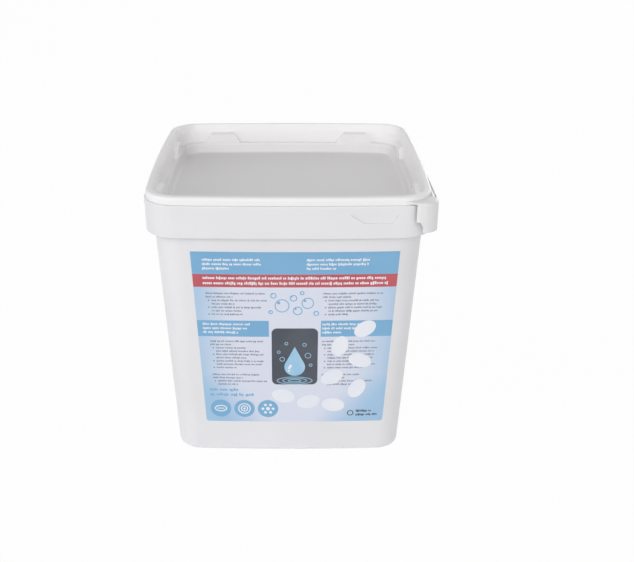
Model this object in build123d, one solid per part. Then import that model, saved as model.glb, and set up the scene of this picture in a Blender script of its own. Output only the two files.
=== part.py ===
from build123d import *
import os
from math import acos, cos, radians, sin, tan

# A square white tub of descaling tablets, with a press-on lid and a paper label on its front.
# Z is up, the label faces -Y, and the origin is on the ground under the middle of the tub.
# A half width is measured from the axis to the middle of a side.

# Overall
total_height = 206.0        # ground to the top of the lid's bead
rim_half = 100.3            # outside of the tub's rim

# Tub
rim_reach = 4.6             # outside of the wall, at the rim, to the outside of the rim
draft = 2.97                # degrees that the wall leans outwards
wall = 1.4
side_crown = 2.6            # bow of each side, from a sharp corner to the middle of the side
base_corner = 18.0          # outside corner radius at the ground
mouth_corner = 21.5         # outside corner radius at the rim
foot_edge = 2.5             # rounding under the wall
foot_ring = 7.0             # width of the ring that the tub stands on
foot_recess = 1.4           # height of the floor plate above the ground
floor_thickness = 1.6
inner_fillet = 4.0          # rounding between floor and wall inside

# Rim of the tub: a band, with a skirt hanging from it and a lip standing on it
rim_corner = 23.5           # outside corner radius of the band
band_height = 4.2
band_proud = 0.3            # band's face outside the skirt's
band_round = 0.7            # rounding of the band's upper edge
skirt_height = 18.6
skirt_lean = 0.2            # how much narrower the skirt is at its lower edge
skirt_wall = 1.6
flange_thickness = 1.4      # plate between the wall and the band
lip_wall = 1.1
lip_bead = 0.2              # how far the bead stands out of the lip
lip_bead_height = 1.8
seam_gap = 0.1              # open line between the lid's bead and the band
rib_thickness = 1.3
rib_spacing = 27.0
ribs_a_side = 5

# Thumb recess in the skirt, to the right of the label
thumb_length = 32.2
thumb_end = 27.1            # recess to the outside of the rim on the right
thumb_slant_left = 10.0
thumb_slant_right = 3.7
thumb_height = 6.2
thumb_depth = 1.0
thumb_top_edge = 2.0        # band to the upper edge of the recess

# Lid
bead_height = 5.7
bead_inset = 1.2            # lid's bead inside the band's face
bead_width = 4.1            # outside of the bead to the top of the well
bead_round = 2.0
lid_wall = 1.1
lip_clearance = 0.3         # lip to each wall of the lid's groove
hook_reach = 0.1            # hook at the foot of the bead, which just clears the lip's bead
hook_height = 1.2
plug_clearance = 0.4        # lid's well to the inside of the tub
well_depth = 22.7
step_depth = 14.8           # top of the bead to the ledge round the well
ledge_width = 3.8
ledge_corner = 15.0         # corner radius of the ledge's inner edge
well_lean = 1.6             # how much narrower the well is at its floor
well_fillet = 2.0

# Stacking lugs, two on each side of the well
lug_end = 44.8              # middle of a lug to the outside of the rim at the corner
lug_top_width = 15.8
lug_base_width = 31.0
lug_top_depth = 4.9         # top of the bead to the high edge of a lug
lug_slope = 2.7             # fall of a lug's top towards the middle

# Pull tab, moulded on the right front corner of the lid
tab_wall = 1.2
tab_proud = 0.3             # tab's face outside the band's
tab_corner = 11.0
tab_round = 2.2             # rounding of the tab's upper edge
tab_bevel = 1.0             # depth of the bevel on the tab's front end
tab_bevel_run = 1.8
tab_roof = 1.4              # plate between the bead and the tab
tab_reach = 15.5            # corner of the tab to each of its ends
tab_lead = 8.0              # length of the slanted start of the roof
tab_top_depth = 3.0         # top of the bead to the top of the tab
tab_short_drop = 16.9       # top of the bead to the tab's edge at its ends
tab_long_drop = 24.2        # top of the bead to the tab's edge round the corner
tab_step = 2.5              # end of the tab to the start of its slanted edge
tab_slant = 4.8             # run of the slanted edge

# Strap that runs back from the tab along the right side, with a slit behind it
strap_height = 2.5
slit_end = 13.5             # corner of the tab to the front end of the slit
strap_end = 64.0            # corner of the tab to the back end of the strap
strap_root = 6.0            # length that joins the strap to the bead

# Label
label_drop = 40.5           # top of the bead to the label's upper edge
label_rise = 26.2           # ground to the label's lower edge
label_inset = 28.55         # outside of the rim to the label's upper corners
label_taper = 6.25          # how much nearer to its axis the lower corners are
label_shift = 4.5           # label's axis to the right of the tub's
label_corner = 2.0
label_thickness = 0.16
glue = 0.02                 # film between the wall, the label and each ink
ink = 0.06

# Fields of colour printed on the label, as shares of its height or of its half width
header_share = 0.122
red_share = 0.071
band_top_share = 0.383      # label's upper edge to the middle band
band_share = 0.093
picture_top_share = 0.427   # label's upper edge to the picture
picture_share = 0.337
picture_width_share = 0.46
picture_corner_share = 0.055
drop_share = 0.104          # radius of the water drop in the picture
drop_tip = 2.27             # drop's middle to its tip, in radii
drop_low_share = 0.061      # picture's middle to the drop's middle
icon_share = 0.105
icon_pitch_share = 0.264
icon_inset_share = 0.174    # label's lower left corner to the middle of the first icon
icon_rise_share = 0.083
icon_count = 3
oval_share = 0.118          # half length of an oval
oval_flatness = 0.68

# Middles of the ovals, as shares of the half width and of the height, and their turn in degrees
ovals = [
    (-0.125, 0.165, -14), (0.153, 0.129, 15), (0.431, 0.108, -8), (0.68, 0.209, 60),
    (0.403, 0.281, 28), (0.694, 0.381, -18), (0.472, 0.468, 72), (0.722, 0.568, 35),
]

# Tablets
tablet_diameter = 35.0
tablet_height = 19.5
tablet_edge = 2.2           # slanted rim of both faces
tablet_gap = 4.0            # between two tablets of a layer
tablet_count = 30

# Heights and half widths that follow
lid_top = total_height
bead_bottom = lid_top - bead_height
band_top = bead_bottom - seam_gap
band_bottom = band_top - band_height
skirt_bottom = band_bottom - skirt_height
flange_bottom = band_top - flange_thickness
floor_top = foot_recess + floor_thickness
lip_top = lid_top - lid_wall - lip_clearance
ledge_z = lid_top - step_depth
well_z = lid_top - well_depth
skirt_half = rim_half - band_proud
skirt_corner = rim_corner - band_proud
bead_half = rim_half - bead_inset
bead_corner = rim_corner - bead_inset
lip_half = bead_half - lid_wall - lip_clearance - lip_bead
lip_corner = rim_corner - (rim_half - lip_half)
well_top_half = bead_half - bead_width
well_top_corner = bead_corner - bead_width
tab_half = rim_half + tab_proud
tab_top = lid_top - tab_top_depth
label_top = lid_top - label_drop
label_bottom = label_rise
label_height = label_top - label_bottom
label_half_top = rim_half - label_inset
label_half_bottom = label_half_top - label_taper


def wall_half(z):
    return rim_half - rim_reach - (band_top - z) * tan(radians(draft))


def wall_corner(z):
    return base_corner + (mouth_corner - base_corner) * z / band_top


def outline(half, corner, z):
    """A square with bowed sides and round corners, drawn at height z."""
    tip = half - side_crown
    corners = [(tip, -tip), (tip, tip), (-tip, tip), (-tip, -tip)]
    middles = [(half, 0), (0, half), (-half, 0), (0, -half)]
    sides = [
        ThreePointArc(corners[i], middles[i], corners[(i + 1) % 4])
        for i in range(4)
    ]
    face = make_face(sides)
    return Pos(0, 0, z) * fillet(face.vertices(), corner)


def block(z0, half0, corner0, z1, half1, corner1):
    """A solid between two bowed squares."""
    return loft([outline(half0, corner0, z0), outline(half1, corner1, z1)], ruled=True)


def straight(z0, z1, half, corner):
    return extrude(outline(half, corner, z0), z1 - z0)


def wall_block(z0, z1, offset):
    """The tapered body of the tub, grown by offset."""
    return block(
        z0, wall_half(z0) + offset, wall_corner(z0) + offset,
        z1, wall_half(z1) + offset, wall_corner(z1) + offset,
    )


ledge_half = wall_half(ledge_z) - wall - plug_clearance - lid_wall - ledge_width


def edges_at(solid, z):
    return solid.edges().filter_by_position(Axis.Z, z - 0.01, z + 0.01)


def on_each_side(solid):
    """Four copies of a solid, one for each side."""
    return [Rot(0, 0, 90 * i) * solid for i in range(4)]


def skirt_block(offset, top):
    """The skirt's outer form, grown by offset, from its lower edge up to top."""
    return block(
        skirt_bottom, skirt_half - skirt_lean + offset, skirt_corner + offset,
        top, skirt_half + offset, skirt_corner + offset,
    )


def rim_space():
    """What the skirt and the flange enclose, open at the bottom."""
    return skirt_block(-skirt_wall, flange_bottom)


def rim_ring():
    """The band and the skirt under it, solid as far as the flange."""
    band = straight(band_bottom, band_top, rim_half, rim_corner)
    band = fillet(edges_at(band, band_top), band_round)
    return band + skirt_block(0, band_bottom) - rim_space()


def skirt_ribs():
    """Thin webs in the gap between the wall and the skirt."""
    reach = rim_half - wall_half(skirt_bottom) + wall / 2
    height = flange_bottom - skirt_bottom - rib_thickness
    first = -rib_spacing * (ribs_a_side - 1) / 2
    ribs = []
    for i in range(ribs_a_side):
        web = Box(rib_thickness, reach, height)
        x = first + i * rib_spacing
        y = -(wall_half(skirt_bottom) - wall / 2 + reach / 2)
        z = flange_bottom - height / 2
        ribs += on_each_side(Pos(x, y, z) * web)
    return Part() + ribs


def thumb_cut():
    """A shallow slanted recess in the front of the skirt."""
    top = band_bottom - thumb_top_edge
    low = top - thumb_height
    right = rim_half - thumb_end
    left = right - thumb_length
    face = Plane.XZ * make_face(Polyline(
        (left, top), (right, top), (right - thumb_slant_right, low), (left + thumb_slant_left, low),
        close=True,
    ))
    return extrude(face, 2 * rim_half) - skirt_block(-thumb_depth, band_top)


def tub_lip():
    """The upright lip inside the lid's groove, with a bead along its outer edge."""
    bead = straight(lip_top - lip_bead_height, lip_top, lip_half + lip_bead, lip_corner + lip_bead)
    lip_round = lip_bead_height / 3
    bead = fillet(edges_at(bead, lip_top), lip_round)
    return straight(flange_bottom, lip_top - lip_round, lip_half, lip_corner) + bead


def make_tub():
    shell = wall_block(0, band_top, 0)
    shell = fillet(edges_at(shell, 0), foot_edge)
    rim = rim_ring() + (skirt_ribs() & rim_space())
    inside = wall_block(floor_top, band_top, -wall)
    inside = fillet(edges_at(inside, floor_top), inner_fillet)
    mouth = straight(band_top - flange_thickness / 2, lid_top, lip_half - lip_wall, lip_corner - lip_wall)
    under = straight(0, foot_recess, wall_half(0) - foot_ring, base_corner - foot_ring / 2)
    return shell + rim + tub_lip() - inside - mouth - under - thumb_cut()


def lug(width_top, width_base, top, base, face_half, back_half, fall):
    """A stacking lug on the front side: a wedge with flared flanks and a sloping top."""
    face = Plane.XZ * make_face(Polyline(
        (-width_base / 2, base), (width_base / 2, base),
        (width_top / 2, top), (-width_top / 2, top), close=True,
    ))
    body = extrude(face, back_half) - extrude(face, face_half)
    slope = make_face(Plane.YZ * Polyline(
        (-face_half, top - fall), (-back_half, top), (-back_half, top + fall + 1),
        (-face_half, top + fall + 1), close=True,
    ))
    return body - extrude(slope, width_base, both=True)


def lugs(solid):
    """Both lugs of every side, made from the one in the middle of the front."""
    copies = []
    for x in (lug_end - rim_half, rim_half - lug_end):
        copies += on_each_side(Pos(x, 0, 0) * solid)
    return copies


def plug_block(z0, z1, offset):
    """The part of the lid that plugs the tub's mouth, grown by offset."""
    return wall_block(z0, z1, offset - wall - plug_clearance)


def lid_well():
    """The open space in the top of the lid, from the bead down to its floor."""
    foot = wall_half(bead_bottom) - wall - plug_clearance - lid_wall
    foot_corner = wall_corner(bead_bottom) - wall - plug_clearance - lid_wall
    upper = block(bead_bottom, foot, foot_corner, lid_top, well_top_half, well_top_corner)
    upper += plug_block(ledge_z, bead_bottom, -lid_wall)
    lower = block(
        well_z, ledge_half - well_lean, ledge_corner - well_lean,
        ledge_z, ledge_half, ledge_corner,
    )
    return upper + fillet(edges_at(lower, well_z), well_fillet)


def lid_groove():
    """The groove under the bead that takes the tub's lip."""
    out = bead_half - lid_wall
    corner = bead_corner - lid_wall
    top = lid_top - lid_wall
    hook_top = bead_bottom + hook_height
    groove = straight(hook_top, top, out, corner)
    groove += straight(bead_bottom, hook_top, out - hook_reach, corner - hook_reach)
    core = block(
        bead_bottom, wall_half(bead_bottom) - wall - plug_clearance,
        wall_corner(bead_bottom) - wall - plug_clearance,
        top, well_top_half + lid_wall, well_top_corner + lid_wall,
    )
    return groove - core


def lid_bead():
    return straight(bead_bottom, lid_top, bead_half, bead_corner)


def make_lid():
    bead = fillet(edges_at(lid_bead(), lid_top), bead_round)
    tray = plug_block(ledge_z - lid_wall, bead_bottom, 0)
    tray += block(
        well_z - lid_wall, ledge_half - well_lean + lid_wall, ledge_corner - well_lean + lid_wall,
        ledge_z - lid_wall, ledge_half + lid_wall, ledge_corner + lid_wall,
    )
    lug_top = lid_top - lug_top_depth
    raised = lug(
        lug_top_width, lug_base_width, lug_top, ledge_z - lid_wall / 2,
        ledge_half, well_top_half, lug_slope,
    )
    hollow = lug(
        lug_top_width - 2 * lid_wall, lug_base_width - 2 * lid_wall,
        lug_top - lid_wall, ledge_z - lid_wall,
        ledge_half + lid_wall, well_top_half + 2 * lid_wall, lug_slope,
    )
    well = lid_well()
    lid = bead + tray - lid_groove() - well
    lid += [solid & well for solid in lugs(raised)]
    return lid - lugs(hollow)


def tab_blank(inset):
    """The squarer outline of the tab as a solid block, shrunk by inset."""
    side = 2 * (tab_half - inset)
    face = fillet(Rectangle(side, side).vertices(), tab_corner - inset)
    return extrude(face, tab_top)


def tab_leg():
    """One leg of the tab seen square on: it steps down towards the corner."""
    end = tab_half - tab_reach
    short = lid_top - tab_short_drop
    long = lid_top - tab_long_drop
    return make_face(Polyline(
        (end, tab_top), (end, short), (end + tab_step, short),
        (end + tab_step + tab_slant, long), (2 * tab_half, long), (2 * tab_half, tab_top),
        close=True,
    ))


def tab_flap(shell):
    """The wall that hangs round the corner outside the skirt, with two equal legs."""
    size = 2 * tab_half
    front = Pos(0, tab_corner - tab_half - size / 2, lid_top / 2) * Box(2 * size, size, lid_top)
    leg = shell & front & extrude(Plane.XZ * tab_leg(), size)
    leg += mirror(leg, Plane((0, 0, 0), x_dir=(1, -1, 0), z_dir=(1, 1, 0)))
    start = tab_half - tab_reach
    bevel = make_face(Polyline(
        (start, -tab_half), (start + tab_bevel_run, -tab_half), (start, tab_bevel - tab_half), close=True,
    ))
    return leg - extrude(bevel, lid_top)


def tab_cover(blank):
    """The roof over the corner, from a slanted start on the front to the slit's front end."""
    start = tab_half - tab_reach
    slit = slit_end - tab_half
    plan = make_face(Polyline(
        (start, -tab_half), (start - tab_lead, tab_lead / 2 - tab_half), (start - tab_lead, slit),
        (tab_half, slit), (tab_half, -tab_half), close=True,
    ))
    return blank & Pos(0, 0, tab_top - tab_roof) * extrude(plan, tab_roof)


def tab_strap(shell, inside):
    """The strap along the right side, with the root that ties it to the bead."""
    length = strap_end - tab_reach
    height = Pos(0, 0, tab_top - strap_height / 2)
    back = strap_end - tab_half
    strap = shell & height * Pos(tab_half, back - length / 2) * Box(2 * tab_corner, length, strap_height)
    root = inside & height * Pos(tab_half, back - strap_root / 2) * Box(tab_reach, strap_root, strap_height)
    return strap + root


def make_tab():
    blank = fillet(edges_at(tab_blank(0), tab_top), tab_round)
    inside = tab_blank(tab_wall)
    shell = blank - inside
    tab = tab_flap(shell) + tab_cover(blank) + tab_strap(shell, inside)
    return tab - lid_bead()


def field(points, corner=0.0):
    """A straight-sided printed field, seen from the front."""
    face = make_face(Polyline(*points, close=True))
    return fillet(face.vertices(), corner) if corner else face


def label_edge(z):
    """Half the label's width at height z."""
    share = (z - label_bottom) / label_height
    return label_half_bottom + share * (label_half_top - label_half_bottom)


def strip(top, bottom, left=-1.0, right=1.0):
    """A field across the label, from share left to share right of its half width."""
    return field([
        (label_shift + left * label_edge(bottom), bottom),
        (label_shift + right * label_edge(bottom), bottom),
        (label_shift + right * label_edge(top), top),
        (label_shift + left * label_edge(top), top),
    ])


def skin(faces, inner, thickness):
    """The faces pressed onto the front wall, from inner outwards."""
    low, high = label_bottom - 1, label_top + 1
    shell = wall_block(low, high, inner + thickness) - wall_block(low, high, inner)
    prisms = [extrude(Plane.XZ * face, rim_half) for face in faces]
    return Part() + [shell & prism for prism in prisms]


def make_label():
    face = field([
        (label_shift - label_half_bottom, label_bottom),
        (label_shift + label_half_bottom, label_bottom),
        (label_shift + label_half_top, label_top),
        (label_shift - label_half_top, label_top),
    ], label_corner)
    return skin([face], glue, label_thickness)


def drop_face(radius):
    """A water drop: a round bottom with two tangent sides that meet in a tip."""
    lean = acos(1 / drop_tip)
    side = Vector(radius * sin(lean), radius * cos(lean))
    tip = (0, drop_tip * radius)
    return make_face([
        ThreePointArc((-side.X, side.Y), (0, -radius), (side.X, side.Y)),
        Line((side.X, side.Y), tip),
        Line(tip, (-side.X, side.Y)),
    ])


def on_label(share_x, share_z):
    """A place on the label, as shares of its half width and of its height."""
    z = label_bottom + share_z * label_height
    return Pos(label_shift + share_x * label_edge(z), z)


def label_prints():
    """The printed fields by name, each with its depth on the label."""
    first = glue + label_thickness + glue
    second = first + ink + glue
    header_bottom = label_top - header_share * label_height
    red_bottom = header_bottom - red_share * label_height
    middle_top = label_top - band_top_share * label_height
    middle_bottom = middle_top - band_share * label_height
    width = picture_width_share * label_half_top
    height = picture_share * label_height
    picture = on_label(0, 1 - picture_top_share - picture_share / 2)
    blank = (width / 2 + label_corner) / label_edge(middle_top)
    panel = fillet(Rectangle(width, height).vertices(), picture_corner_share * label_half_top)
    drop = drop_face(drop_share * label_half_top)
    disc = Circle(icon_share * label_half_top)
    icons = [
        on_label(icon_inset_share + i * icon_pitch_share - 1, icon_rise_share) * disc
        for i in range(icon_count)
    ]
    oval = Ellipse(oval_share * label_half_top, oval_share * oval_flatness * label_half_top)
    return {
        "label_header": skin([strip(label_top, header_bottom)], first, ink),
        "label_warning_band": skin([strip(header_bottom, red_bottom)], first, ink),
        "label_middle_band": skin(
            [strip(middle_top, middle_bottom, -1, -blank), strip(middle_top, middle_bottom, blank, 1)],
            first, ink,
        ),
        "label_picture": skin([picture * panel], first, ink),
        "label_drop": skin([picture * Pos(0, -drop_low_share * label_height) * drop], second, ink),
        "label_icons": skin(icons, first, ink),
        "label_ovals": skin([on_label(x, z) * Rot(0, 0, turn) * oval for x, z, turn in ovals], second, ink),
    }


def make_tablet():
    blank = Cylinder(tablet_diameter / 2, tablet_height, align=(Align.CENTER, Align.CENTER, Align.MIN))
    rims = edges_at(blank, 0) + edges_at(blank, tablet_height)
    return chamfer(rims, tablet_edge / 2, tablet_edge)


def tablet_places():
    """Places in full layers of rows, from the floor of the tub upwards."""
    pitch = tablet_diameter + tablet_gap
    room = 2 * (wall_half(floor_top) - wall - side_crown - tablet_gap)
    a_row = int((room + tablet_gap) // pitch)
    first = -pitch * (a_row - 1) / 2
    for i in range(tablet_count):
        layer, place = divmod(i, a_row ** 2)
        row, column = divmod(place, a_row)
        yield first + column * pitch, first + row * pitch, floor_top + layer * tablet_height


def main():
    os.makedirs("parts", exist_ok=True)
    nodes = {"tub": make_tub(), "lid": make_lid(), "lid_tab": make_tab(), "label": make_label()}
    nodes.update(label_prints())
    tablet = make_tablet()
    for i, place in enumerate(tablet_places()):
        nodes[f"tablet_{i + 1:02d}"] = Pos(*place) * tablet
    for name, solid in nodes.items():
        export_step(solid, f"parts/{name}.step")


main()
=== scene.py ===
import random
from math import cos, pi, radians, sin, tan

import bmesh
import bpy
from mathutils import Matrix, Vector


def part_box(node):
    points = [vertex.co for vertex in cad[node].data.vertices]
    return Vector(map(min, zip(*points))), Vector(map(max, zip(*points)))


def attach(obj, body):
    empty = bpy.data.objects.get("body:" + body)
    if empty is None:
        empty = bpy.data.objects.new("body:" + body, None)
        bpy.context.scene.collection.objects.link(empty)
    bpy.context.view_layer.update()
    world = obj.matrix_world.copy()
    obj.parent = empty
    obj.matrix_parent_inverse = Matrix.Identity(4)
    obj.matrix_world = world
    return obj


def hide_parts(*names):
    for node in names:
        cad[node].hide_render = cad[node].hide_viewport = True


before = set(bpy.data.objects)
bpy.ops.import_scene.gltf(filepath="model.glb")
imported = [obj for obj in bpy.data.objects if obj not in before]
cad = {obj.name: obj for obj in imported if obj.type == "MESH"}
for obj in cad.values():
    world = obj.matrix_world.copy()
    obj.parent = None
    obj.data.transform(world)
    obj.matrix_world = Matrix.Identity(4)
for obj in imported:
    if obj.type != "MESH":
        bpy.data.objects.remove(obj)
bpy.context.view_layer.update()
mm = 0.001
print("frame loaded:", len(cad), "nodes")

# the front wall of the tub, which the label follows
wall = {"halfAtGround": 85.32 * mm, "lean": radians(2.97), "bow": 2.6 * mm}
# how far the faces of the printed sheet and of its inks lie out from that wall
layers = {
    "paper": 0.18 * mm, "ink": 0.26 * mm, "secondInk": 0.34 * mm,
    "gap": 0.006 * mm, "film": 0.02 * mm,  # under a printed film, and the film's own thickness
}
cloudRange = (0.3, 0.7)  # the part of a soft noise where it changes most


class Sock:
    # one output of a shader tree; Python's own signs add math nodes to it
    def __init__(self, finish, socket):
        self.finish = finish
        self.socket = socket

    def math(self, operation, *values):
        inputs = dict(enumerate(values))
        return self.finish.node("ShaderNodeMath", {"operation": operation}, inputs)

    def __add__(self, other):
        return self.math("ADD", self, other)

    def __radd__(self, other):
        return self.math("ADD", other, self)

    def __sub__(self, other):
        return self.math("SUBTRACT", self, other)

    def __rsub__(self, other):
        return self.math("SUBTRACT", other, self)

    def __mul__(self, other):
        return self.math("MULTIPLY", self, other)

    def __rmul__(self, other):
        return self.math("MULTIPLY", other, self)

    def __truediv__(self, other):
        return self.math("DIVIDE", self, other)

    def __rtruediv__(self, other):
        return self.math("DIVIDE", other, self)

    def __abs__(self):
        return self.math("ABSOLUTE", self)

    def atLeast(self, other):
        return self.math("MAXIMUM", self, other)

    def ramp(self, low, high):
        # 0 below low, 1 above high, smooth between them
        settings = {"interpolation_type": "SMOOTHSTEP"}
        inputs = {"Value": self, "From Min": low, "From Max": high}
        return self.finish.node("ShaderNodeMapRange", settings, inputs)


class Nodes:
    # a shader tree, and the one way that nodes are added to it
    def __init__(self, tree):
        self.tree = tree

    def node(self, kind, settings, inputs, output=0):
        made = self.tree.nodes.new(kind)
        for key, value in settings.items():
            setattr(made, key, value)
        for key, value in inputs.items():
            if isinstance(value, Sock):
                self.tree.links.new(value.socket, made.inputs[key])
            else:
                made.inputs[key].default_value = value
        return Sock(self, made.outputs[output])


class Finish(Nodes):
    # a material with its Principled shader
    def __init__(self, name, constants):
        self.material = bpy.data.materials.new(name)
        self.material.use_nodes = True
        super().__init__(self.material.node_tree)
        self.shader = self.tree.nodes["Principled BSDF"]
        for key, value in constants.items():
            self.shader.inputs[key].default_value = value
        self.place = self.node("ShaderNodeTexCoord", {}, {}, "Object")

    def noise(self, scale, detail=2.0, at=None):
        inputs = {"Vector": at or self.place, "Scale": scale, "Detail": detail}
        return self.node("ShaderNodeTexNoise", {}, inputs)

    def cells(self, scale):
        return self.node("ShaderNodeTexVoronoi", {}, {"Vector": self.place, "Scale": scale})

    def mix(self, factor, first, second):
        inputs = {0: factor, 6: first, 7: second}
        return self.node("ShaderNodeMix", {"data_type": "RGBA"}, inputs, 2)

    def stretched(self, scales):
        return self.node("ShaderNodeMapping", {}, {"Vector": self.place, "Scale": scales})

    def axis(self, letter):
        return self.node("ShaderNodeSeparateXYZ", {}, {"Vector": self.place}, letter)

    def bump(self, height, distance, under=None):
        inputs = {"Height": height, "Distance": distance}
        if under:
            inputs["Normal"] = under
        return self.node("ShaderNodeBump", {}, inputs)

    def give(self, varying):
        for key, value in varying.items():
            self.tree.links.new(value.socket, self.shader.inputs[key])
        return self.material


def grey(value):
    return (value, value, value, 1.0)


def asMesh(name, bm):
    mesh = bpy.data.meshes.new(name)
    bm.to_mesh(mesh)
    bm.free()
    return mesh


def inScene(name, data):
    thing = bpy.data.objects.new(name, data)
    bpy.context.scene.collection.objects.link(thing)
    return thing


def newPiece(name, bm, body, material):
    mesh = asMesh(name, bm)
    if "custom_normal" in mesh.attributes:
        # a copy of a CAD mesh brings its old normals, which would hide its smooth shading
        mesh.attributes.remove(mesh.attributes["custom_normal"])
    mesh.materials.append(material)
    piece = inScene(name, mesh)
    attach(piece, body)
    return piece


# moulded polypropylene of the tub, the lid and the tab
tubLook = {
    "colour": (0.825, 0.821, 0.842, 1), "shade": (0.795, 0.790, 0.808, 1),
    "milkiness": 0.30, "glowDepth": 0.8 * mm, "glowColour": (1.0, 0.95, 0.9),
    "cloudScale": 14, "flowScale": 60, "flowStretch": (1.0, 1.0, 0.12), "flowShare": 0.6,
    "grainScale": 2600, "grainRange": (0.35, 0.75), "grainShare": 0.25,
    "grainHeight": 0.006 * mm, "flowHeight": 0.05 * mm,
    "roughness": 0.33, "cloudRoughness": 0.06, "flowRoughness": 0.08,
}
# the lid's greyer colour below the given heights is painted shade in the bottom of its well
lidLook = dict(
    tubLook, colour=(0.912, 0.900, 0.908, 1), shade=(0.885, 0.874, 0.880, 1), roughness=0.34,
    flowScale=45, plate=(0.790, 0.778, 0.776, 1), plateHeights=(188.5 * mm, 193.0 * mm),
)
# painted shade: the tab is moulded with the lid, but its plastic is painted darker than the lid's, for the
# shade on the lid's right corner
shadedTabLook = dict(tubLook, colour=(0.815, 0.807, 0.815, 1), shade=(0.795, 0.787, 0.795, 1))


def plastic(name, look):
    finish = Finish(name, {
        "IOR": 1.49, "Specular IOR Level": 0.5, "Subsurface Weight": look["milkiness"],
        "Subsurface Radius": look["glowColour"], "Subsurface Scale": look["glowDepth"],
    })
    cloud = finish.noise(look["cloudScale"], 3.0)
    flow = finish.noise(look["flowScale"], 2.0, finish.stretched(look["flowStretch"]))
    grain = finish.noise(look["grainScale"], 1.0)
    colour = finish.mix(cloud.ramp(*cloudRange), look["colour"], look["shade"])
    colour = finish.mix(grain.ramp(*look["grainRange"]) * look["grainShare"], colour, look["shade"])
    if "plate" in look:
        # painted shade: below the given heights the lid is painted greyer, on the floor and low walls of
        # its well, for the shade that falls in the recess
        colour = finish.mix(finish.axis("Z").ramp(*look["plateHeights"]), look["plate"], colour)
    # the sum stays above 0.28: the denoiser leaves streaks where it falls below about 0.27
    rough = look["roughness"] + (cloud - 0.5) * look["cloudRoughness"]
    rough = rough + (flow - 0.5) * look["flowRoughness"]
    waves = flow * look["flowShare"] + cloud * (1 - look["flowShare"])
    skin = finish.bump(grain, look["grainHeight"])
    skin = finish.bump(waves, look["flowHeight"], skin)
    return finish.give({"Base Color": colour, "Roughness": rough, "Normal": skin})


# how a CAD node's loose triangles become one smooth shell
shell = {"merge": 0.002 * mm, "sliver": 0.001 * mm, "sharpAngle": radians(24)}


def smoothCopy(node, body, material):
    bm = bmesh.new()
    bm.from_mesh(cad[node].data)
    bmesh.ops.remove_doubles(bm, verts=bm.verts, dist=shell["merge"])
    bmesh.ops.dissolve_degenerate(bm, edges=bm.edges, dist=shell["sliver"])
    for face in bm.faces:
        face.smooth = True
    for edge in bm.edges:
        edge.smooth = edge.calc_face_angle(pi) < shell["sharpAngle"]
    piece = newPiece(node + "_look", bm, body, material)
    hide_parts(node)


smoothCopy("tub", "tub", plastic("tubPolypropylene", tubLook))
smoothCopy("lid", "lid", plastic("lidPolypropylene", lidLook))
smoothCopy("lid_tab", "lid", plastic("shadedTabPolypropylene", shadedTabLook))
print("tub, lid and tab finished")


# paper of the label: pale in the middle, blue towards its sides and its foot
labelLow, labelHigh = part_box("label")
labelMiddle = (labelLow.x + labelHigh.x) / 2
labelHalf = (labelHigh.x - labelLow.x) / 2
labelHeight = labelHigh.z - labelLow.z
labelTaper = 6.25 * mm  # how much nearer to its middle the lower corners are
paperLook = {
    "pale": (0.72, 0.75, 0.86, 1), "sky": (0.36, 0.56, 0.77, 1),
    "fadeStart": 0.55, "fadeEnd": 1.15, "footHeight": 0.30, "footShare": 0.45,
    "patchScale": 12, "patchShare": 0.25,
    "fibreScale": 1800, "fibreRange": (0.3, 0.8), "fibreShare": 0.06, "fibreHeight": 0.004 * mm,
    "roughness": 0.42, "fibreRoughness": 0.12,
}


def paperFinish(look):
    finish = Finish("labelPaper", {"IOR": 1.45})
    side = abs(finish.axis("X") - labelMiddle) / labelHalf
    rise = (finish.axis("Z") - labelLow.z) / labelHeight
    foot = (1 - rise / look["footHeight"]).atLeast(0.0)
    patches = (finish.noise(look["patchScale"], 2.0) - 0.5) * look["patchShare"]
    away = side + foot * look["footShare"] + patches
    colour = finish.mix(away.ramp(look["fadeStart"], look["fadeEnd"]), look["pale"], look["sky"])
    fibre = finish.noise(look["fibreScale"], 2.0)
    colour = finish.mix(fibre.ramp(*look["fibreRange"]) * look["fibreShare"], colour, grey(0.5))
    rough = look["roughness"] + (fibre - 0.5) * look["fibreRoughness"]
    skin = finish.bump(fibre, look["fibreHeight"])
    return finish.give({"Base Color": colour, "Roughness": rough, "Normal": skin})


# printed inks: a little uneven in depth, with the fine dots of their screen
sharedInk = {
    "cloudScale": 30, "cloudShare": 0.7, "dotScale": 2400, "dotRange": (0.1, 0.6), "dotHeight": 0.002 * mm,
    "roughness": 0.4, "cloudRoughness": 0.1,
}
inkLooks = {
    "skyInk": dict(sharedInk, colour=(0.185, 0.415, 0.655, 1), shade=(0.215, 0.445, 0.675, 1)),
    "redInk": dict(sharedInk, colour=(0.50, 0.085, 0.105, 1), shade=(0.54, 0.11, 0.13, 1)),
    "slateInk": dict(sharedInk, colour=(0.055, 0.065, 0.085, 1), shade=(0.09, 0.10, 0.125, 1)),
    "waterInk": dict(sharedInk, colour=(0.45, 0.66, 0.82, 1), shade=(0.30, 0.55, 0.76, 1), cloudScale=60),
    "whiteInk": dict(sharedInk, colour=(0.86, 0.87, 0.91, 1), shade=(0.80, 0.83, 0.90, 1)),
    "textInk": dict(sharedInk, colour=(0.15, 0.17, 0.25, 1), shade=(0.21, 0.23, 0.32, 1)),
}
fieldInks = {
    "label_header": "skyInk", "label_warning_band": "redInk", "label_middle_band": "skyInk",
    "label_picture": "slateInk", "label_drop": "waterInk",
    "label_icons": "skyInk", "label_ovals": "whiteInk",
}


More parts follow.
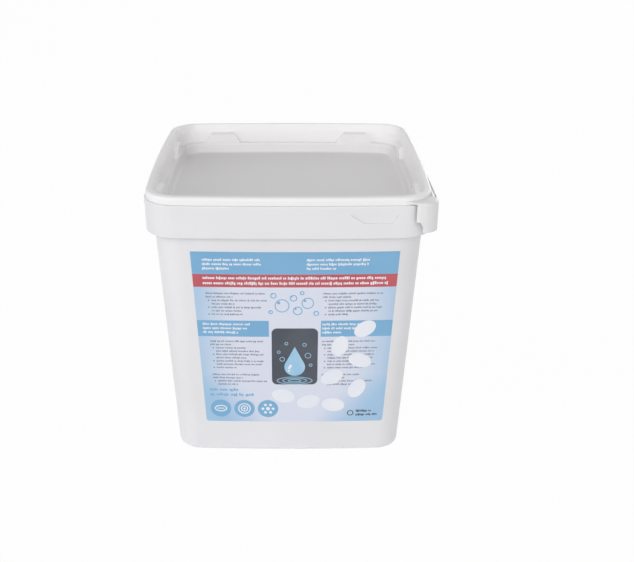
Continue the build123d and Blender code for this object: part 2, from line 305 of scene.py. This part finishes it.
def inkFinish(name, look):
    finish = Finish(name, {"IOR": 1.45})
    cloud = finish.noise(look["cloudScale"], 3.0)
    dots = finish.cells(look["dotScale"])
    uneven = cloud.ramp(*cloudRange) * look["cloudShare"]
    uneven = uneven + dots.ramp(*look["dotRange"]) * (1 - look["cloudShare"])
    colour = finish.mix(uneven, look["colour"], look["shade"])
    rough = look["roughness"] + (cloud - 0.5) * look["cloudRoughness"]
    skin = finish.bump(dots, look["dotHeight"])
    return finish.give({"Base Color": colour, "Roughness": rough, "Normal": skin})


def dress(node, material):
    cad[node].data.materials.clear()
    cad[node].data.materials.append(material)


inks = {name: inkFinish(name, look) for name, look in inkLooks.items()}
dress("label", paperFinish(paperLook))
for node, ink in fieldInks.items():
    dress(node, inks[ink])
print("label finished")


def wallDepth(x, z):
    # how far the outside of the front wall lies in front of the tub's axis
    half = wall["halfAtGround"] + z * tan(wall["lean"])
    return half - wall["bow"] * (x / (half - wall["bow"])) ** 2


def labelEdge(z, side):
    # x of the label's slanted edge at height z
    below = (labelHigh.z - z) / labelHeight
    return labelMiddle + side * (labelHalf - below * labelTaper)


strips = {"wide": 4.0 * mm, "fine": 2.0 * mm}  # widths of the flat strips that follow the wall's bow


def upright(x, z, turn=0.0):
    # stands a flat shape up, so that it is seen from the front
    return Matrix.Translation((x, 0, z)) @ Matrix.Rotation(turn, 4, "Y") @ Matrix.Rotation(pi / 2, 4, "X")


def addBar(bm, x, z, width, height):
    # one flat bar, from its left end at mid height
    place = upright(x + width / 2, z) @ Matrix.Diagonal((width, height, 1, 1))
    bmesh.ops.create_grid(bm, x_segments=1, y_segments=1, size=0.5, matrix=place)


def addDisc(bm, x, z, radius, squash=1.0, turn=0.0, segments=32):
    place = upright(x, z, turn) @ Matrix.Diagonal((1, squash, 1, 1))
    bmesh.ops.create_circle(bm, cap_ends=True, segments=segments, radius=radius, matrix=place)


def addRing(bm, x, z, radius, width, squash=1.0, segments=40):
    # a disc whose middle is taken out
    ring = bmesh.new()
    addDisc(ring, x, z, radius, squash, 0.0, segments)
    bmesh.ops.inset_individual(ring, faces=list(ring.faces), thickness=width, use_even_offset=True)
    middle = max(ring.faces, key=lambda face: len(face.verts))
    bmesh.ops.delete(ring, geom=[middle], context="FACES")
    mesh = asMesh("ring", ring)
    bm.from_mesh(mesh)
    bpy.data.meshes.remove(mesh)


def pressed(name, bm, layer, ink, strip=strips["wide"]):
    # cuts flat shapes into strips, gives them a film of ink and lays them on the bowed wall
    xs = [vert.co.x for vert in bm.verts]
    cut = min(xs)
    while cut < max(xs):
        shapes = list(bm.verts) + list(bm.edges) + list(bm.faces)
        bmesh.ops.bisect_plane(bm, geom=shapes, plane_co=(cut, 0, 0), plane_no=(1, 0, 0))
        cut += strip
    grown = bmesh.ops.extrude_face_region(bm, geom=list(bm.faces))
    front = [item for item in grown["geom"] if isinstance(item, bmesh.types.BMVert)]
    bmesh.ops.translate(bm, verts=front, vec=(0, -layers["film"], 0))
    for vert in bm.verts:
        vert.co.y -= wallDepth(vert.co.x, vert.co.z) + layers[layer] + layers["gap"]
    bmesh.ops.recalc_face_normals(bm, faces=bm.faces)
    newPiece(name, bm, "tub", inks[ink])


# print: lines of upright strokes that form no letters; a slit between two strokes is a share of
# the stroke, and the overs and unders that some strokes have are shares of the height
smallPrint = {
    "height": 0.95 * mm, "stroke": 0.48 * mm, "slit": 0.5, "pitch": 2.75 * mm, "space": 0.62 * mm,
    "word": (1.0 * mm, 6.5 * mm), "overs": (0, 0, 0, 0.4), "unders": (0, 0, 0, 0, 0.35),
    "shortShare": 0.2, "strokeSpread": (0.7, 1.3), "lastReach": (0.35, 0.7), "fullReach": (0.86, 1.0),
}
boldPrint = dict(
    smallPrint, height=1.25 * mm, stroke=0.72 * mm, slit=0.32, pitch=3.3 * mm, space=0.85 * mm,
    word=(2.0 * mm, 9.0 * mm), shortShare=0.0,
)
bandPrint = dict(boldPrint, height=1.5 * mm, stroke=0.95 * mm, slit=0.3)
titlePrint = dict(boldPrint, height=1.7 * mm, stroke=0.95 * mm, pitch=4.2 * mm, space=1.2 * mm)
columns = {"inset": 7.0 * mm, "width": 45.0 * mm, "gutter": 3.0 * mm}
rng = random.Random(7)


def addTextLine(bm, left, right, z, look):
    # words of upright strokes, a few of them taller or lower
    x = left
    while x < right - look["stroke"]:
        end = min(x + rng.uniform(*look["word"]), right)
        while x < end:
            width = look["stroke"] * rng.uniform(*look["strokeSpread"])
            over = look["height"] * rng.choice(look["overs"])
            under = look["height"] * rng.choice(look["unders"])
            addBar(bm, x, z + (over - under) / 2, width, look["height"] + over + under)
            x += width + look["stroke"] * look["slit"]
        x += look["space"]


def textBlock(bm, left, top, width, lines, look):
    # the last line is short, and so are some of the others
    for i in range(lines):
        last = i == lines - 1 or rng.random() < look["shortShare"]
        reach = width * rng.uniform(*look["lastReach" if last else "fullReach"])
        addTextLine(bm, left, left + reach, top - i * look["pitch"], look)


headerLow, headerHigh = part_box("label_header")
redLow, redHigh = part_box("label_warning_band")
bandLow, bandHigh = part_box("label_middle_band")
pictureLow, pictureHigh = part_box("label_picture")
dropLow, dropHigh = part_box("label_drop")
iconsLow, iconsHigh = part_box("label_icons")
dropMiddle = (dropLow.x + dropHigh.x) / 2
rightColumn = pictureHigh.x + columns["gutter"]

whiteLook = {
    "lines": 3, "headerDrop": 6.0 * mm, "headerStart": 8 * mm, "redShift": 2.0 * mm,
    "bandDrop": 3.0 * mm, "bandShare": 0.8,
}


def whiteLines():
    # two blocks in the header, two long lines on the red band and two blocks in the middle band
    bm = bmesh.new()
    lines = whiteLook["lines"]
    left = labelEdge(headerLow.z, -1) + columns["inset"]
    for x in (left, labelMiddle + whiteLook["headerStart"]):
        textBlock(bm, x, headerHigh.z - whiteLook["headerDrop"], columns["width"], lines, boldPrint)
    redMiddle = (redLow.z + redHigh.z) / 2
    for z in (redMiddle + whiteLook["redShift"], redMiddle - whiteLook["redShift"]):
        addTextLine(bm, left, labelEdge(z, 1) - columns["inset"], z, bandPrint)
    reach = columns["width"] * whiteLook["bandShare"]
    for x in (labelEdge(bandLow.z, -1) + columns["inset"] / 2, rightColumn):
        textBlock(bm, x, bandHigh.z - whiteLook["bandDrop"], reach, lines, boldPrint)
    pressed("printWhiteLines", bm, "ink", "whiteInk")


# each block: height of its first line, and its count of lines
smallLook = {
    "blocks": [(redLow.z - 5.0 * mm, 7), (bandLow.z - 4.0 * mm, 9), (bandLow.z - 32.0 * mm, 4)],
    "plainLines": 2, "indent": 4.0 * mm, "bullet": 0.55 * mm,
}


def smallLines():
    # in each block two plain lines, and under them a list with a bullet at every other line
    bm = bmesh.new()
    pitch = smallPrint["pitch"]
    plain = smallLook["plainLines"]
    indent = smallLook["indent"]
    for top, lines in smallLook["blocks"]:
        left = labelEdge(top - lines * pitch, -1) + columns["inset"]
        reach = min(columns["width"], pictureLow.x - columns["gutter"] - left)
        for x in (left, rightColumn):
            textBlock(bm, x, top, reach, plain, smallPrint)
            textBlock(bm, x + indent, top - plain * pitch, reach - indent, lines - plain, smallPrint)
            for i in range(plain, lines, 2):
                addDisc(bm, x + indent / 2, top - i * pitch, smallLook["bullet"], segments=12)
    pressed("printSmallLines", bm, "paper", "textInk")


# motifs in the open places of the label; each bubble is its x, its height and its radius in mm
bubbleLook = {
    "bubbles": [
        (-9, 7, 5.2), (2, 3, 3.4), (9, 9, 4.4), (-1, 13, 2.6),
        (-15, 15, 2.2), (15, 1, 2.0), (5, 17, 1.6), (-17, 2, 1.6),
    ],
    "rise": 5 * mm, "line": 0.7 * mm, "glint": 0.22, "glintShift": 0.45,
}


def bubbles():
    # a cluster of rings with a glint, above the picture
    bm = bmesh.new()
    foot = bandHigh.z + bubbleLook["rise"]
    for across, up, size in bubbleLook["bubbles"]:
        x = labelMiddle + across * mm
        z = foot + up * mm
        radius = size * mm
        shift = radius * bubbleLook["glintShift"]
        addRing(bm, x, z, radius, bubbleLook["line"])
        addDisc(bm, x - shift, z + shift, radius * bubbleLook["glint"], segments=16)
    pressed("printBubbles", bm, "paper", "skyInk", strips["fine"])


# each ripple is its radius and its line in mm
pictureLook = {
    "ripples": [(5.0, 0.6), (9.0, 0.55), (13.0, 0.5)], "rippleDrop": 4.2 * mm, "flatness": 0.26,
    "bubbles": [
        (-9, 14, 1.9), (-11.5, 20, 1.3), (9.5, 17, 2.3), (11.5, 9, 1.3), (7, 26, 1.5), (-6, 27, 1.3),
    ],
    "line": 0.45 * mm,
}


def pictureLines():
    # ripples under the drop, and small bubbles round it
    bm = bmesh.new()
    for radius, line in pictureLook["ripples"]:
        z = dropLow.z - pictureLook["rippleDrop"]
        addRing(bm, dropMiddle, z, radius * mm, line * mm, pictureLook["flatness"])
    for across, up, radius in pictureLook["bubbles"]:
        x = dropMiddle + across * mm
        addRing(bm, x, dropLow.z + up * mm, radius * mm, pictureLook["line"], segments=24)
    pressed("printPictureLines", bm, "ink", "waterInk", strips["fine"])


glintLook = {
    "left": 3.4 * mm, "rise": 7.6 * mm, "radius": 2.3 * mm, "flatness": 0.42, "turn": radians(-62),
    "dotLeft": 4.2 * mm, "dotRise": 4.2 * mm, "dotRadius": 0.7 * mm,
}


def dropGlint():
    bm = bmesh.new()
    x = dropMiddle - glintLook["left"]
    z = dropLow.z + glintLook["rise"]
    addDisc(bm, x, z, glintLook["radius"], glintLook["flatness"], glintLook["turn"], 24)
    dotX = dropMiddle - glintLook["dotLeft"]
    addDisc(bm, dotX, dropLow.z + glintLook["dotRise"], glintLook["dotRadius"], segments=16)
    pressed("printDropGlint", bm, "secondInk", "whiteInk", strips["fine"])


# sizes of the marks as shares of a round field's radius
markLook = {
    "oval": 0.62, "ovalLine": 0.12, "ovalFlatness": 0.62, "bar": 0.68, "barHeight": 0.10,
    "rings": (0.62, 0.36), "ringLine": 0.11, "ringDot": 0.13,
    "dots": 6, "dotsOut": 0.5, "dot": 0.15, "middleDot": 0.2,
}


def iconMarks():
    # one plain mark in each round field: a tablet, rings of water and a ring of dots
    bm = bmesh.new()
    middle = (iconsLow.z + iconsHigh.z) / 2
    radius = (iconsHigh.z - iconsLow.z) / 2
    pitch = (iconsHigh.x - iconsLow.x - 2 * radius) / 2
    first, second, third = [iconsLow.x + radius + i * pitch for i in range(3)]
    oval = radius * markLook["oval"]
    bar = radius * markLook["bar"]
    addRing(bm, first, middle, oval, radius * markLook["ovalLine"], markLook["ovalFlatness"])
    addBar(bm, first - bar / 2, middle, bar, radius * markLook["barHeight"])
    for share in markLook["rings"]:
        addRing(bm, second, middle, radius * share, radius * markLook["ringLine"])
    addDisc(bm, second, middle, radius * markLook["ringDot"], segments=16)
    out = radius * markLook["dotsOut"]
    for i in range(markLook["dots"]):
        turn = i * 2 * pi / markLook["dots"]
        x = third + cos(turn) * out
        addDisc(bm, x, middle + sin(turn) * out, radius * markLook["dot"], segments=16)
    addDisc(bm, third, middle, radius * markLook["middleDot"], segments=20)
    pressed("printIconMarks", bm, "ink", "whiteInk", strips["fine"])


titleLook = {"reaches": (34 * mm, 21 * mm), "rise": 4.5 * mm}


def titleLines():
    # two short lines above the round fields
    bm = bmesh.new()
    left = iconsLow.x
    foot = iconsHigh.z + titleLook["rise"]
    for i, reach in enumerate(titleLook["reaches"]):
        addTextLine(bm, left, left + reach, foot + i * titlePrint["pitch"], titlePrint)
    pressed("printTitleLines", bm, "paper", "skyInk")


cornerLook = {
    "inset": 4 * mm, "width": 16 * mm, "reaches": (11 * mm, 16 * mm), "rise": 9 * mm, "pitch": 3.2 * mm,
    "ringLeft": 4 * mm, "ringRise": 7.4 * mm, "ringRadius": 2.4 * mm, "ringLine": 0.7 * mm,
}


def cornerLines():
    # a small ring and two lines in the lower right corner
    bm = bmesh.new()
    left = labelEdge(labelLow.z, 1) - cornerLook["inset"] - cornerLook["width"]
    top = labelLow.z + cornerLook["rise"]
    for i, reach in enumerate(cornerLook["reaches"]):
        addTextLine(bm, left, left + reach, top - i * cornerLook["pitch"], boldPrint)
    x = left - cornerLook["ringLeft"]
    z = labelLow.z + cornerLook["ringRise"]
    addRing(bm, x, z, cornerLook["ringRadius"], cornerLook["ringLine"], segments=24)
    pressed("printCornerLines", bm, "paper", "slateInk", strips["fine"])


whiteLines()
smallLines()
bubbles()
pictureLines()
dropGlint()
iconMarks()
titleLines()
cornerLines()
print("label printed")


# pressed powder of the tablets, with a few blue specks
powderLook = {
    "colour": (0.80, 0.80, 0.78, 1), "shade": (0.72, 0.73, 0.73, 1), "cloudScale": 60,
    "speck": (0.25, 0.45, 0.68, 1), "speckScale": 700, "speckRange": (0.66, 0.72),
    "grainScale": 1100, "grainHeight": 0.12 * mm, "roughness": 0.78, "cloudRoughness": 0.2,
}


def powderFinish(look):
    finish = Finish("tabletPowder", {"IOR": 1.5})
    cloud = finish.noise(look["cloudScale"], 3.0)
    specks = finish.noise(look["speckScale"], 1.0).ramp(*look["speckRange"])
    colour = finish.mix(cloud.ramp(*cloudRange), look["colour"], look["shade"])
    colour = finish.mix(specks, colour, look["speck"])
    rough = look["roughness"] + (cloud - 0.5) * look["cloudRoughness"]
    skin = finish.bump(finish.cells(look["grainScale"]), look["grainHeight"])
    return finish.give({"Base Color": colour, "Roughness": rough, "Normal": skin})


powder = powderFinish(powderLook)
for node in cad:
    if node.startswith("tablet"):
        dress(node, powder)
print("tablets finished")


# studio: a white floor that keeps the shadow, and large soft lamps a few metres away
studio = {
    "lamps": {
        "keyLight": {"power": 58, "place": (-0.3, -3.7, 1.75)},
        "leftLight": {"power": 56, "place": (-3.7, -1.2, 1.3)},
        "fillLight": {"power": 27, "place": (1.7, -3.5, 1.0)},
        "backLight": {"power": 48, "place": (2.3, 3.2, 1.3)},
    },
    "lampSize": 3.0, "aim": (0, 0, 0.14), "worldStrength": 0.33, "shadowShare": 0.03,
    "floorSize": 6.0, "floorGap": 0.05 * mm, "floorScale": 3.0, "floorTones": (grey(0.86), grey(0.84)),
}
photoView = {
    "lens": 53.49, "sensor": 36.0, "shift": 0.0450, "place": (0, -0.6878, 0.4065), "tilt": radians(66.16),
}


def areaLight(name, look):
    lamp = bpy.data.lights.new(name, "AREA")
    lamp.shape = "SQUARE"
    lamp.size = studio["lampSize"]
    lamp.energy = look["power"]
    holder = inScene(name, lamp)
    holder.location = look["place"]
    towardsTub = Vector(studio["aim"]) - Vector(look["place"])
    holder.rotation_euler = towardsTub.to_track_quat("-Z", "Y").to_euler()


def seenRays(finish):
    # 1 for the rays that show the background: the camera's, and those of gloss and glass
    kinds = ("Is Camera Ray", "Is Glossy Ray", "Is Transmission Ray")
    camera, gloss, glass = [finish.node("ShaderNodeLightPath", {}, {}, kind) for kind in kinds]
    return camera.atLeast(gloss.atLeast(glass))


def floorFinish():
    finish = Finish("studioFloor", {"Roughness": 0.9})
    finish.give({"Base Color": finish.mix(finish.noise(studio["floorScale"]), *studio["floorTones"])})
    lit = Sock(finish, finish.shader.outputs[0])
    glow = finish.node("ShaderNodeEmission", {}, {"Color": grey(1.0), "Strength": 1.0})
    share = seenRays(finish) * (1 - studio["shadowShare"])
    mixed = finish.node("ShaderNodeMixShader", {}, {0: share, 1: lit, 2: glow})
    finish.tree.links.new(mixed.socket, finish.tree.nodes["Material Output"].inputs["Surface"])
    return finish.material


def makeFloor():
    bm = bmesh.new()
    bmesh.ops.create_grid(bm, x_segments=2, y_segments=2, size=studio["floorSize"] / 2)
    bmesh.ops.translate(bm, verts=bm.verts, vec=(0, 0, -studio["floorGap"]))
    mesh = asMesh("studioFloor", bm)
    mesh.materials.append(floorFinish())
    inScene("studioFloor", mesh)


def makeWorld():
    world = bpy.data.worlds.new("studioWorld")
    bpy.context.scene.world = world
    world.use_nodes = True
    finish = Nodes(world.node_tree)
    back = finish.tree.nodes["Background"]
    back.inputs["Color"].default_value = grey(1.0)
    strength = studio["worldStrength"] + seenRays(finish) * (1 - studio["worldStrength"])
    finish.tree.links.new(strength.socket, back.inputs["Strength"])


def makeCamera():
    camera = bpy.data.cameras.new("photoCamera")
    camera.lens = photoView["lens"]
    camera.sensor_width = photoView["sensor"]
    camera.shift_x = photoView["shift"]
    holder = inScene("photoCamera", camera)
    holder.location = photoView["place"]
    holder.rotation_euler = (photoView["tilt"], 0, 0)
    bpy.context.scene.camera = holder


makeFloor()
makeWorld()
for name, look in studio["lamps"].items():
    areaLight(name, look)
makeCamera()
bpy.context.scene.view_settings.view_transform = "Standard"
print("studio ready")
